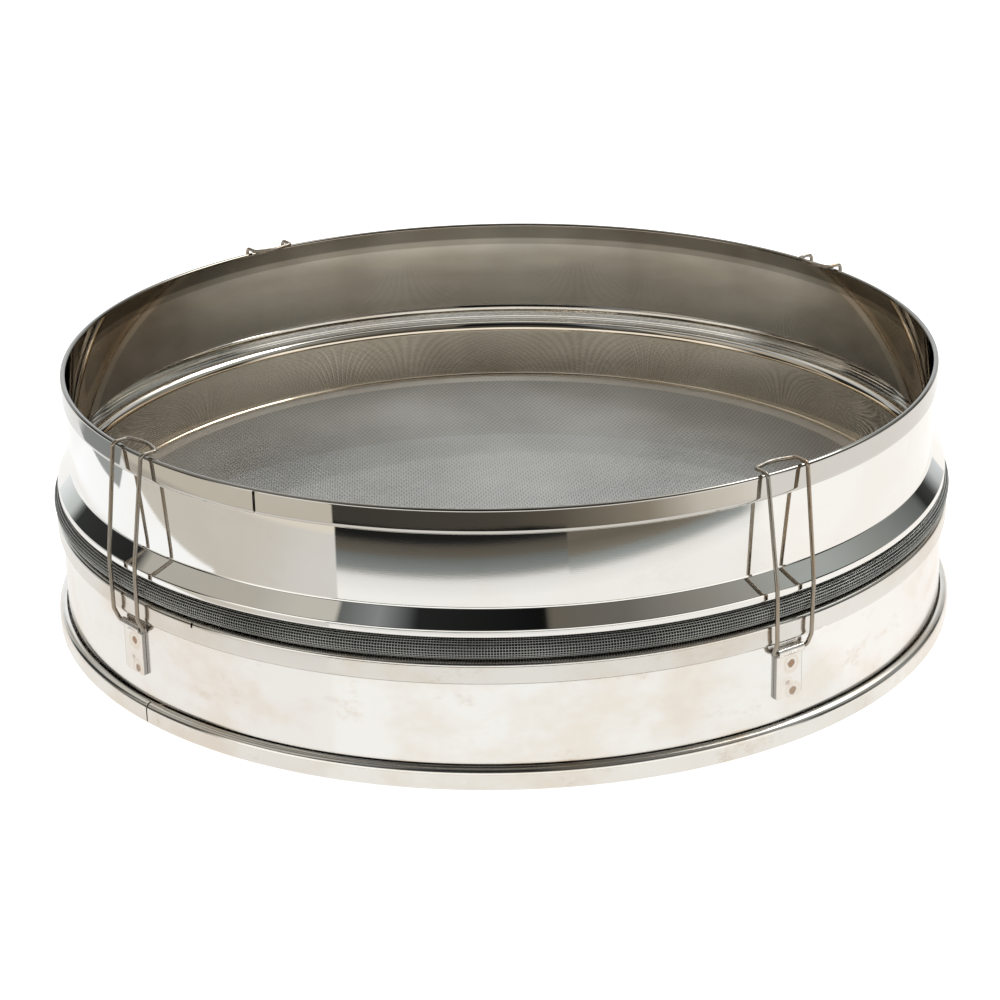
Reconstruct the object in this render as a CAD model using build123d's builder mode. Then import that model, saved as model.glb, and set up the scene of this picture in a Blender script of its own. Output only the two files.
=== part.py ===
from build123d import *
import math
import os

# Drum sieve with an exchangeable screen, standing on its lower hoop.
# Frame: millimetres, +Z up, origin at the centre of the base ring, on the surface it stands on.
# The front of the sieve looks along -Y.  Clip places are angles from the front, towards +X.

# Sheet and overall sizes
sheet = 0.7                    # thickness of the stainless sheet of both hoops
overall_height = 91.0
upper_diameter = 300.0         # outside of the upper hoop's wall
seat_clearance = 0.3           # free space round the screen where the hoops clamp it

# Screen: a stretched net whose edge is rolled round a ring
roll_diameter = 6.8            # over the rolled cloth
roll_offset = 3.45             # from the upper hoop's wall out to the centre line of the roll
roll_height = 46.4             # centre line of the roll above the base
screen_height = 27.5           # top face of the net above the base
cloth = 0.5                    # thickness of the rolled cloth and of the net
ring_clearance = 0.05          # round the ring, inside the rolled cloth
net_pitch = 14.2
net_open_share = 0.69          # of the pitch, the width of one gap
net_border = 3.0               # solid edge of the net, inside its flange
flange_width = 2.4             # turned-in foot of the cloth under the net

# Upper hoop
rim_hem_height = 8.1
rim_hem_gap = 0.6              # inside the folded rim hem
flare_height = 8.45            # from the shoulder over the roll up to the foot of the wall
flare_bend_radius = 1.5
lip_reach = 1.45               # from the roll's centre line out to the corner of the lip
lip_bend_radius = 0.7
spigot_curl = 1.2              # turned-in foot of the spigot, where the net bends round it
rim_slit_width = 1.4
rim_slit_angle = -30.0

# Lower hoop
wall_offset = 0.85             # from the centre line of the roll out to the wall
top_hem_height = 7.6
top_hem_gap = 0.9
foot_height = 7.4
foot_reach = 3.3               # how far the rolled foot stands out from the wall
foot_gap = 0.3                 # between the curled edge of the foot and the wall
foot_shoulder_radius = 2.0
foot_corner_radius = 1.0
foot_slit_width = 0.6
foot_slit_angle = -47.6
top_slit_width = 0.8
top_slit_angle = -39.1

# Wire clips, hinged in folded straps
clip_angles = (35.0, 126.0, 216.0, 309.5)
wire_diameter = 1.4
pivot_drop = 3.4               # from the top hem's lower edge down to the pivot
knuckle_clearance = 0.05
bar_half_width = 7.0
waist_half_width = 7.4
hook_half_width = 8.0
bar_joint_gap = 0.6            # between the butted wire ends, inside the knuckle
elbow_rise = 4.6               # from the pivot up to the elbow of each leg
elbow_clearance = 0.5          # between the legs and the roll
waist_rise = 23.0              # from the pivot up to the bend where the legs lean in
hook_clearance = 0.5           # between the wire and the top of the rim
hook_outside = 0.9             # from the rim hem out to the wire of the legs
hook_reach = 5.9               # from the legs in to the corners of the hook
hook_bow = 2.1                 # of the cross piece, inwards
bar_bend_radius = 1.2
elbow_bend_radius = 2.5
waist_bend_radius = 30.0
hook_bend_radius = 1.6
bow_bend_radius = 12.0
strap_sheet = 0.6
strap_width = 10.5
strap_clearance = 8.1          # from the rolled foot up to the foot of the strap
strap_corner_radius = 1.0
weld_shares = (0.30, 0.885)    # of the strap's drop, from the pivot down to each spot weld
weld_diameter = 3.0
weld_depth = 0.15

hem_bend_share = 0.85          # of the radius at which a hem would have no flat crest

os.makedirs("parts", exist_ok=True)

# Middle lines of the sheets, worked out from the sizes above
half_sheet = sheet / 2
wall_line = upper_diameter / 2 - half_sheet
rim_line = overall_height - half_sheet
rim_hem_line = wall_line + sheet + rim_hem_gap
roll_radius = roll_diameter / 2
roll_line = wall_line + roll_offset
throat_radius = roll_radius + seat_clearance + half_sheet
spigot_line = roll_line - throat_radius
shoulder_line = roll_height + throat_radius
wall_foot = shoulder_line + flare_height
spigot_foot = screen_height + seat_clearance + half_sheet

lower_wall_line = roll_line + wall_offset
top_hem_line = lower_wall_line + sheet + top_hem_gap
top_bend_radius = (top_hem_line - lower_wall_line) / 2
crest_offset = (lower_wall_line + top_hem_line) / 2 - roll_line
crest_reach = top_bend_radius + half_sheet + roll_radius + seat_clearance
top_line = roll_height - math.sqrt(crest_reach**2 - crest_offset**2) + top_bend_radius
top_hem_foot = top_line + half_sheet - top_hem_height
foot_line = lower_wall_line + foot_reach


def sheet_profile(points, radii):
    """Face of a bent sheet in the radial plane, from the middle line through the points."""
    with BuildSketch(Plane.XZ) as profile:
        with BuildLine():
            bends = FilletPolyline(*points, radius=radii)
            offset(bends, amount=half_sheet, side=Side.BOTH)
        make_face()
    return profile.sketch


# Upper hoop: hem, wall, flare, lip, throat over the roll, and the spigot that holds the net down
rim_bend = (rim_hem_line - wall_line) / 2 * hem_bend_share
upper_points = [
    (rim_hem_line, overall_height - rim_hem_height + half_sheet),
    (rim_hem_line, rim_line),
    (wall_line, rim_line),
    (wall_line, wall_foot),
    (roll_line + lip_reach, shoulder_line),
    (spigot_line, shoulder_line),
    (spigot_line, spigot_foot),
    (spigot_line - spigot_curl, spigot_foot),
]
upper_radii = [rim_bend, rim_bend, flare_bend_radius, lip_bend_radius, throat_radius,
               spigot_curl * hem_bend_share]
with BuildPart() as upper_hoop:
    add(sheet_profile(upper_points, upper_radii))
    revolve(axis=Axis.Z)
    # The ends of the hem's outer leaf meet at a slit that stops where the crest bends over
    rim_slit_top = rim_line - (rim_bend + half_sheet) / 2
    with BuildSketch(Plane.XY.offset(rim_slit_top).rotated((0, 0, rim_slit_angle))):
        with Locations((0, -rim_hem_line)):
            Rectangle(rim_slit_width, rim_hem_gap + sheet)
    extrude(amount=-rim_hem_height, mode=Mode.SUBTRACT)

# Lower hoop: hem that carries the roll, straight wall, and the rolled foot
top_bend = top_bend_radius * hem_bend_share
lower_points = [
    (top_hem_line, top_hem_foot),
    (top_hem_line, top_line),
    (lower_wall_line, top_line),
    (lower_wall_line, half_sheet),
    (foot_line, half_sheet),
    (foot_line, foot_height - half_sheet),
    (lower_wall_line + sheet + foot_gap, foot_height - half_sheet),
]
lower_radii = [top_bend, top_bend, foot_corner_radius, foot_corner_radius, foot_shoulder_radius]
with BuildPart() as lower_hoop:
    add(sheet_profile(lower_points, lower_radii))
    revolve(axis=Axis.Z)
    with BuildSketch(Plane.XY.offset(sheet).rotated((0, 0, foot_slit_angle))):
        with Locations((0, -foot_line)):
            Rectangle(foot_slit_width, foot_reach)
    extrude(amount=foot_height, mode=Mode.SUBTRACT)
    # The ends of the top hem's outer leaf meet at a slit below the crest
    top_slit_top = top_line - (top_bend + half_sheet) / 2
    with BuildSketch(Plane.XY.offset(top_slit_top).rotated((0, 0, top_slit_angle))):
        with Locations((0, -top_hem_line)):
            Rectangle(top_slit_width, top_hem_gap + sheet)
    extrude(amount=-top_hem_height, mode=Mode.SUBTRACT)

# Cloth rolled round the ring, with its skirt down to the net and the foot under the net
skirt_outer = roll_line - roll_radius + cloth
skirt_inner = roll_line - roll_radius
ring_radius = roll_radius - cloth - ring_clearance
with BuildPart() as mesh_edge_wrap:
    with BuildSketch(Plane.XZ):
        with Locations((roll_line, roll_height)):
            Circle(roll_radius)
            Circle(ring_radius + ring_clearance, mode=Mode.SUBTRACT)
        with BuildLine():
            Polyline(
                (skirt_outer, roll_height),
                (skirt_inner, roll_height),
                (skirt_inner, screen_height - cloth),
                (skirt_inner - flange_width, screen_height - cloth),
                (skirt_inner - flange_width, screen_height - 2 * cloth),
                (skirt_outer, screen_height - 2 * cloth),
                close=True,
            )
        make_face()
    revolve(axis=Axis.Z)

with BuildPart() as screen_ring:
    with BuildSketch(Plane.XZ):
        with Locations((roll_line, roll_height)):
            Circle(ring_radius)
    revolve(axis=Axis.Z)

# Net: one flat face with square gaps, open by the same share as the woven wire
net_radius = skirt_inner
net_gap = net_pitch * net_open_share
gap_reach = net_radius - flange_width - net_border
gap_count = math.floor(2 * gap_reach / net_pitch) + 1
with BuildPart() as sieve_mesh:
    with BuildSketch(Plane.XY.offset(screen_height - cloth)):
        Circle(net_radius)
        with GridLocations(net_pitch, net_pitch, gap_count, gap_count) as grid:
            gap_places = [
                place for place in grid.locations
                if math.hypot(abs(place.position.X) + net_gap / 2,
                              abs(place.position.Y) + net_gap / 2) < gap_reach
            ]
        with Locations(*gap_places):
            Rectangle(net_gap, net_gap, mode=Mode.SUBTRACT)
    extrude(amount=cloth)

# Clips and straps, in upright planes through the axis: sketch x is outwards, sketch y is up
wire_radius = wire_diameter / 2
knuckle_inner = wire_radius + knuckle_clearance
knuckle_outer = knuckle_inner + strap_sheet
lower_wall_radius = lower_wall_line + half_sheet
pivot_height = top_hem_foot - pivot_drop
strap_drop = pivot_height - foot_height - strap_clearance
pivot_radius = lower_wall_radius + knuckle_outer
leg_radius = roll_line + roll_radius + elbow_clearance + wire_radius
hook_radius = rim_hem_line + half_sheet + hook_outside + wire_radius
hook_height = overall_height + hook_clearance + wire_radius


def clip_plane(angle):
    """Upright plane through the axis at this angle from the front."""
    turn = math.radians(angle)
    outwards = (math.sin(turn), -math.cos(turn), 0)
    across = (-math.cos(turn), -math.sin(turn), 0)
    return Plane(origin=(0, 0, 0), x_dir=outwards, z_dir=across)


def leg_points(side):
    """Corners of one half of the wire, from its end in the knuckle to the hook's corner."""
    return [
        (pivot_radius, pivot_height, side * bar_joint_gap / 2),
        (pivot_radius, pivot_height, side * bar_half_width),
        (leg_radius, pivot_height + elbow_rise, side * bar_half_width),
        (leg_radius, pivot_height + waist_rise, side * waist_half_width),
        (hook_radius, hook_height, side * hook_half_width),
        (hook_radius - hook_reach, hook_height, side * hook_half_width),
    ]


def make_clip(angle):
    """Spring wire bent into a bail: bar, two legs and the hook over the rim."""
    half_radii = [bar_bend_radius, elbow_bend_radius, waist_bend_radius, hook_bend_radius,
                  hook_bend_radius]
    middle = (hook_radius - hook_reach - hook_bow, hook_height, 0)
    corners = leg_points(1) + [middle] + leg_points(-1)[::-1]
    radii = half_radii + [bow_bend_radius] + half_radii[::-1]
    with BuildPart() as clip:
        with BuildLine(clip_plane(angle)) as path:
            FilletPolyline(*corners, radius=radii)
        wire = path.wires()[0]
        with BuildSketch(Plane(origin=wire @ 0, z_dir=wire % 0)):
            Circle(wire_radius)
        sweep(path=wire)
    return clip.part


def make_strap(angle):
    """Folded strap: knuckle round the wire and a double leaf, spot welded to the wall."""
    upright = clip_plane(angle)
    across = Axis(upright.origin, upright.z_dir)
    leaf_outer = lower_wall_radius + 2 * strap_sheet
    leaf_face = Plane(origin=upright.x_dir * leaf_outer, x_dir=-upright.z_dir, z_dir=upright.x_dir)
    with BuildPart() as strap:
        with BuildSketch(upright):
            with Locations((pivot_radius, pivot_height)):
                Circle(knuckle_outer)
            with Locations((leaf_outer, pivot_height - strap_drop)):
                Rectangle(3 * strap_sheet, strap_drop, align=(Align.MAX, Align.MIN))
            with Locations((pivot_radius, pivot_height)):
                Circle(knuckle_inner, mode=Mode.SUBTRACT)
        extrude(amount=strap_width / 2, both=True)
        foot_edges = strap.edges().group_by(Axis.Z)[0].sort_by(across)
        fillet([foot_edges[0], foot_edges[-1]], radius=strap_corner_radius)
        with BuildSketch(leaf_face):
            with Locations(*[(0, pivot_height - share * strap_drop) for share in weld_shares]):
                Circle(weld_diameter / 2)
        extrude(amount=-weld_depth, mode=Mode.SUBTRACT)
        # The leaf follows the round wall that it is welded to
        Cylinder(lower_wall_radius, 2 * overall_height, mode=Mode.SUBTRACT)
    return strap.part


for place, angle in enumerate(clip_angles, start=1):
    wire_clip = make_clip(angle)
    wire_clip.label = f"wire_clip_{place}"
    export_step(wire_clip, f"parts/wire_clip_{place}.step")
    clip_strap = make_strap(angle)
    clip_strap.label = f"clip_strap_{place}"
    export_step(clip_strap, f"parts/clip_strap_{place}.step")

upper_hoop.part.label = "upper_hoop"
export_step(upper_hoop.part, "parts/upper_hoop.step")
lower_hoop.part.label = "lower_hoop"
export_step(lower_hoop.part, "parts/lower_hoop.step")
mesh_edge_wrap.part.label = "mesh_edge_wrap"
export_step(mesh_edge_wrap.part, "parts/mesh_edge_wrap.step")
screen_ring.part.label = "screen_ring"
export_step(screen_ring.part, "parts/screen_ring.step")
sieve_mesh.part.label = "sieve_mesh"
export_step(sieve_mesh.part, "parts/sieve_mesh.step")
print("gaps in the net:", len(gap_places))
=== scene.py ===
import math

import bmesh
import bpy
from bpy.props import FloatProperty, FloatVectorProperty, IntProperty, PointerProperty
from mathutils import Matrix, Vector


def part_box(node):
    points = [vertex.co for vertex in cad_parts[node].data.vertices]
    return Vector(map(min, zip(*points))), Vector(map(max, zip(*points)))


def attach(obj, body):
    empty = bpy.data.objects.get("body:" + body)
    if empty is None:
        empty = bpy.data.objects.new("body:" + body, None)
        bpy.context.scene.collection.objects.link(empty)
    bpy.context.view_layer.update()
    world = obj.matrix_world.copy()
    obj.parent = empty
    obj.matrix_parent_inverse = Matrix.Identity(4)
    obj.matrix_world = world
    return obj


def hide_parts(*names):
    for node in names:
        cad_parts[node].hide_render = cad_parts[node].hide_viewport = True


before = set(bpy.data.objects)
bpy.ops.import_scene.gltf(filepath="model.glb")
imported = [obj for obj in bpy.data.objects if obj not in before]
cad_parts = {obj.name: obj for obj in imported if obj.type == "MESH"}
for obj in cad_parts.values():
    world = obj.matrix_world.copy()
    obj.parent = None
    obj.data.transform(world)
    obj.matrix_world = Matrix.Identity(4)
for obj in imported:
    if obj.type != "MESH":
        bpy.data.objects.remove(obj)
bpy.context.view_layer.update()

bl_info = {
    "name": "Drum Sieve",
    "version": (1, 0, 0),
    "blender": (4, 5, 0),
    "location": "3D View > Sidebar > Sieve",
    "description": "Builds and finishes a drum sieve with two hoops, a woven screen and four wire clips",
    "category": "Add Mesh",
}

# Heights taken from the frame, in metres
RIM_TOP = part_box("upper_hoop")[1][2]
LOWER_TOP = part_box("lower_hoop")[1][2]
NET_FOOT, NET_TOP = (corner[2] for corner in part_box("sieve_mesh"))
STRAP_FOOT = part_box("clip_strap_1")[0][2]

# Where the clips stand, in degrees from the front
CLIP_ANGLES = (35.0, 126.0, 216.0, 309.5)

# Small sizes that pieces share, in metres
SEAT_GAP = 0.0003
HINGE_GAP = 0.00005
STRAP_SHEET = 0.0006
SHEET_EDGE = 0.00012
HOOP_SEGMENTS = 8


# Sizes and colours that a user would change

class SieveSizes(bpy.types.PropertyGroup):
    sheet: FloatProperty(name="Sheet", description="Thickness of the steel sheet of both hoops",
                         default=0.0007, unit="LENGTH", precision=5)
    upper_radius: FloatProperty(name="Upper radius", description="Middle line of the upper hoop's wall",
                                default=0.14965, unit="LENGTH", precision=5)
    top: FloatProperty(name="Top", description="Height of the rim",
                       default=RIM_TOP, unit="LENGTH", precision=5)
    roll_radius: FloatProperty(name="Roll circle", description="Centre line of the rolled edge of the cloth",
                               default=0.1531, unit="LENGTH", precision=5)
    roll_height: FloatProperty(name="Roll height", description="Height of the rolled edge's centre line",
                               default=0.0464, unit="LENGTH", precision=5)
    roll_thickness: FloatProperty(name="Roll", description="Thickness over the rolled edge",
                                  default=0.0068, unit="LENGTH", precision=5)
    lower_radius: FloatProperty(name="Lower radius", description="Middle line of the lower hoop's wall",
                                default=0.15395, unit="LENGTH", precision=5)
    screen_height: FloatProperty(name="Screen height", description="Top of the woven screen",
                                 default=NET_TOP, unit="LENGTH", precision=5)
    net_pitch: FloatProperty(name="Mesh pitch", description="From one screen wire to the next",
                             default=0.0009, unit="LENGTH", precision=5)
    net_wire: FloatProperty(name="Mesh wire", description="Thickness of the screen wire",
                            default=0.00027, unit="LENGTH", precision=5)
    clip_wire: FloatProperty(name="Clip wire", description="Thickness of the clip wire",
                             default=0.0014, unit="LENGTH", precision=5)
    pivot_height: FloatProperty(name="Pivot height", description="Height of the clip hinges",
                                default=0.0319893, unit="LENGTH", precision=5)
    steps: IntProperty(name="Steps", description="Facets round a hoop", default=360, min=32)


class SieveColours(bpy.types.PropertyGroup):
    upper_steel: FloatVectorProperty(name="Upper steel", description="Mirror finish of the upper hoop",
                                     subtype="COLOR", size=3, default=(0.83, 0.815, 0.785))
    lower_steel: FloatVectorProperty(name="Lower steel", description="Softer finish of the lower hoop",
                                     subtype="COLOR", size=3, default=(0.865, 0.85, 0.825))
    cloth_steel: FloatVectorProperty(name="Cloth steel", description="Wire of the woven screen",
                                     subtype="COLOR", size=3, default=(0.60, 0.61, 0.60))
    roll_steel: FloatVectorProperty(name="Roll steel", description="Wire of the rolled edge",
                                    subtype="COLOR", size=3, default=(0.53, 0.535, 0.505))
    clip_steel: FloatVectorProperty(name="Clip steel", description="Drawn spring wire of the clips",
                                    subtype="COLOR", size=3, default=(0.35, 0.325, 0.285))
    strap_steel: FloatVectorProperty(name="Strap steel", description="Sheet of the hinge straps",
                                     subtype="COLOR", size=3, default=(0.84, 0.81, 0.77))
    heat_tint: FloatVectorProperty(name="Heat tint", description="Brown of the spot welds",
                                   subtype="COLOR", size=3, default=(0.30, 0.17, 0.09))
    floor: FloatVectorProperty(name="Floor", description="Pale floor", subtype="COLOR", size=3,
                               default=(0.93, 0.93, 0.93))


# Modelling helpers

def deselect_all():
    if bpy.context.object and bpy.context.object.mode != "OBJECT":
        bpy.ops.object.mode_set(mode="OBJECT")
    bpy.ops.object.select_all(action="DESELECT")


def select_only(piece):
    deselect_all()
    piece.select_set(True)
    bpy.context.view_layer.objects.active = piece


def apply_place(piece):
    select_only(piece)
    bpy.ops.object.transform_apply(location=True, rotation=True, scale=True)


def finish_modifier(kind, **settings):
    """Adds a modifier to the active piece, sets it up and applies it."""
    bpy.ops.object.modifier_add(type=kind)
    modifier = bpy.context.object.modifiers[-1]
    for name, value in settings.items():
        setattr(modifier, name, value)
    bpy.ops.object.modifier_apply(modifier=modifier.name)


def pick(piece, wanted):
    """Selects the vertices of a piece in edit mode for which wanted(place) holds."""
    shape = bmesh.from_edit_mesh(piece.data)
    bpy.context.tool_settings.mesh_select_mode = (True, False, False)
    for face in shape.faces:
        face.select = False
    for edge in shape.edges:
        edge.select = False
    for vertex in shape.verts:
        vertex.select = wanted(vertex.co)
    shape.select_flush(True)
    bmesh.update_edit_mesh(piece.data)


def bent_line(name, corners, radii, segments):
    """A line of edges through the corners, each inner corner rounded to its radius."""
    deselect_all()
    bpy.ops.mesh.primitive_plane_add(size=0.001, location=corners[0])
    piece = bpy.context.object
    piece.name = piece.data.name = name
    bpy.ops.object.transform_apply(location=True)
    bpy.ops.object.mode_set(mode="EDIT")
    bpy.ops.mesh.select_all(action="SELECT")
    bpy.ops.mesh.merge(type="CENTER")
    for start, stop in zip(corners, corners[1:]):
        step = Vector(stop) - Vector(start)
        bpy.ops.mesh.extrude_region_move(TRANSFORM_OT_translate={"value": step})
    for before, corner, after, radius in zip(corners, corners[1:], corners[2:], radii):
        here = Vector(corner)
        turn = (here - Vector(before)).angle(Vector(after) - here)
        pick(piece, lambda place: (place - here).length < 1e-6)
        bpy.ops.mesh.bevel(offset=radius * math.tan(turn / 2), segments=segments, affect="VERTICES")
    bpy.ops.object.mode_set(mode="OBJECT")
    return piece


def spin_sheet(piece, steps):
    """Turns a line in the radial plane into a closed round surface."""
    select_only(piece)
    bpy.ops.object.mode_set(mode="EDIT")
    bpy.ops.mesh.select_all(action="SELECT")
    bpy.ops.mesh.spin(steps=steps, angle=2 * math.pi, center=(0, 0, 0), axis=(0, 0, 1))
    bpy.ops.mesh.select_all(action="SELECT")
    bpy.ops.mesh.remove_doubles(threshold=1e-6)
    bpy.ops.mesh.normals_make_consistent(inside=False)
    bpy.ops.object.mode_set(mode="OBJECT")


def cut_slit(piece, angle, width, inner, low, high, sill=None):
    """Parts a leaf of the hem outside the inner radius between two heights, or only above the sill."""
    turn = math.radians(angle)
    outwards = Vector((math.sin(turn), -math.cos(turn), 0))
    along = Vector((math.cos(turn), math.sin(turn), 0))

    def in_leaf(place):
        return place.dot(outwards) > inner and abs(place.dot(along)) < 0.012 and low < place.z < high

    select_only(piece)
    bpy.ops.object.mode_set(mode="EDIT")
    bpy.context.tool_settings.mesh_select_mode = (True, False, False)
    for side in (-1, 1):
        pick(piece, in_leaf)
        bpy.ops.mesh.bisect(plane_co=along * side * width / 2, plane_no=along)
    if sill:
        pick(piece, in_leaf)
        bpy.ops.mesh.bisect(plane_co=(0, 0, sill), plane_no=(0, 0, 1))
    shape = bmesh.from_edit_mesh(piece.data)
    centres = [(face, face.calc_center_median()) for face in shape.faces]
    gone = [face for face, centre in centres
            if in_leaf(centre) and abs(centre.dot(along)) < width / 2 and centre.z > (sill or low)]
    bmesh.ops.delete(shape, geom=gone, context="FACES")
    bmesh.update_edit_mesh(piece.data)
    bpy.ops.object.mode_set(mode="OBJECT")


def thicken(piece, thickness, edge):
    """Gives a sheet its thickness and breaks its sharp edges."""
    select_only(piece)
    finish_modifier("SOLIDIFY", thickness=thickness, offset=0, use_even_offset=True,
                    use_quality_normals=True)
    finish_modifier("BEVEL", width=edge, segments=2, limit_method="ANGLE", angle_limit=math.radians(50))


def recalculate(piece):
    select_only(piece)
    bpy.ops.object.mode_set(mode="EDIT")
    bpy.ops.mesh.select_all(action="SELECT")
    bpy.ops.mesh.normals_make_consistent(inside=False)
    bpy.ops.object.mode_set(mode="OBJECT")


def smooth(piece, angle=40.0):
    select_only(piece)
    bpy.ops.object.shade_smooth_by_angle(angle=math.radians(angle))
    finish_modifier("WEIGHTED_NORMAL", mode="FACE_AREA", weight=60, keep_sharp=True)


def wire_along(line, thickness, resolution):
    """Turns a line of edges into a wire with closed ends."""
    select_only(line)
    bpy.ops.object.convert(target="CURVE")
    wire = bpy.context.object
    wire.data.bevel_depth = thickness / 2
    wire.data.bevel_resolution = resolution
    wire.data.use_fill_caps = True
    bpy.ops.object.convert(target="MESH")
    return bpy.context.object


def copy_turned(piece, name, angle):
    """A copy with its own mesh, turned about the sieve's axis."""
    select_only(piece)
    bpy.ops.object.duplicate(linked=False)
    copy = bpy.context.object
    copy.name = copy.data.name = name
    copy.rotation_euler = (0, 0, math.radians(angle))
    apply_place(copy)
    return copy


def settle(piece, body, slot, material, *nodes):
    """The piece rides on its body, takes its finish and stands for its nodes."""
    piece.data.materials.clear()
    piece.data.materials.append(material)
    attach(piece, body)
    if nodes:
        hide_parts(*nodes)


# Material helpers

class Nodes:
    """A node tree with short words for adding and linking its nodes."""

    def __init__(self, owner):
        owner.use_nodes = True
        self.tree = owner.node_tree
        self.tree.nodes.clear()

    def add(self, kind, **settings):
        node = self.tree.nodes.new(kind)
        for name, value in settings.items():
            setattr(node, name, value)
        return node

    def link(self, output, socket):
        self.tree.links.new(output, socket)

    def math(self, operation, first, second=None, third=None):
        node = self.add("ShaderNodeMath", operation=operation)
        for socket, value in zip(node.inputs, (first, second, third)):
            if value is None:
                continue
            if isinstance(value, (int, float)):
                socket.default_value = value
            else:
                self.link(value, socket)
        return node.outputs[0]

    def split(self, vector):
        node = self.add("ShaderNodeSeparateXYZ")
        self.link(vector, node.inputs[0])
        return node.outputs

    def length(self, first, second):
        """Length over two sides at a right angle."""
        squares = [self.math("POWER", side, 2.0) for side in (first, second)]
        return self.math("SQRT", self.math("ADD", *squares))

    def colours(self, value, low, high, stops):
        """Colour by a value: stops are (value, brightness, red, green, blue share)."""
        node = self.add("ShaderNodeValToRGB")
        elements = node.color_ramp.elements
        elements.remove(elements[-1])
        for place, (stop, glow, *tint) in enumerate(stops):
            element = elements.new((stop - low) / (high - low)) if place else elements[0]
            element.position = (stop - low) / (high - low)
            element.color = (*(glow * share for share in tint), 1.0)
        self.link(self.math("DIVIDE", self.math("SUBTRACT", value, low), high - low), node.inputs[0])
        return node.outputs["Color"]

    def noise(self, scale, detail=2.0, stretch=(1, 1, 1), roughness=0.5):
        mapping = self.add("ShaderNodeMapping")
        mapping.inputs["Scale"].default_value = stretch
        self.link(self.place, mapping.inputs["Vector"])
        noise = self.add("ShaderNodeTexNoise")
        noise.inputs["Scale"].default_value = scale
        noise.inputs["Detail"].default_value = detail
        noise.inputs["Roughness"].default_value = roughness
        self.link(mapping.outputs[0], noise.inputs["Vector"])
        return noise.outputs["Fac"]

    def ramp(self, value, low, high, to_low=0.0, to_high=1.0):
        """Soft step from one number to another while the value goes from low to high."""
        node = self.add("ShaderNodeMapRange", interpolation_type="SMOOTHSTEP")
        for name, number in (("From Min", low), ("From Max", high), ("To Min", to_low), ("To Max", to_high)):
            node.inputs[name].default_value = number
        self.link(value, node.inputs["Value"])
        return node.outputs["Result"]

    def blend(self, share, first, second):
        """Mix of two colours, each a colour or a socket."""
        node = self.add("ShaderNodeMix", data_type="RGBA")
        for socket, value in ((node.inputs[6], first), (node.inputs[7], second)):
            if hasattr(value, "is_linked"):
                self.link(value, socket)
            else:
                socket.default_value = (*value, 1.0)
        self.link(share, node.inputs[0])
        return node.outputs[2]

    def times(self, first, second):
        """Product of two colour sockets."""
        node = self.add("ShaderNodeVectorMath", operation="MULTIPLY")
        self.link(first, node.inputs[0])
        self.link(second, node.inputs[1])
        return node.outputs[0]

    def bump(self, height, distance, under=None):
        node = self.add("ShaderNodeBump")
        node.inputs["Strength"].default_value = 1.0
        node.inputs["Distance"].default_value = distance
        self.link(height, node.inputs["Height"])
        if under is not None:
            self.link(under, node.inputs["Normal"])
        return node.outputs["Normal"]


class Finish(Nodes):
    """A node material on object coordinates, with one principled shader."""

    def __init__(self, name):
        self.material = bpy.data.materials.get(name) or bpy.data.materials.new(name)
        super().__init__(self.material)
        self.shader = self.add("ShaderNodeBsdfPrincipled")
        output = self.add("ShaderNodeOutputMaterial")
        self.link(self.shader.outputs["BSDF"], output.inputs["Surface"])
        self.place = self.add("ShaderNodeTexCoord").outputs["Object"]


def darker(colour, share):
    return tuple(channel * share for channel in colour)


# How light the inside of the upper hoop is, as painted reflection by height: height in metres, brightness,
# tint
WHITE, BLUISH = (1.0, 1.0, 1.0), (1.0, 1.02, 1.06)
INSIDE_PAINTED_REFLECTION = [(0.030, 1.25, *WHITE), (0.0510, 1.25, *WHITE), (0.0520, 0.55, *WHITE), (0.0603, 0.60, *WHITE),
               (0.0710, 0.90, *WHITE), (0.0785, 1.35, *WHITE), (0.0820, 1.70, *BLUISH),
               (0.0850, 1.75, *BLUISH), (0.0855, 0.90, *WHITE)]
STEP = 0.0001


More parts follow.
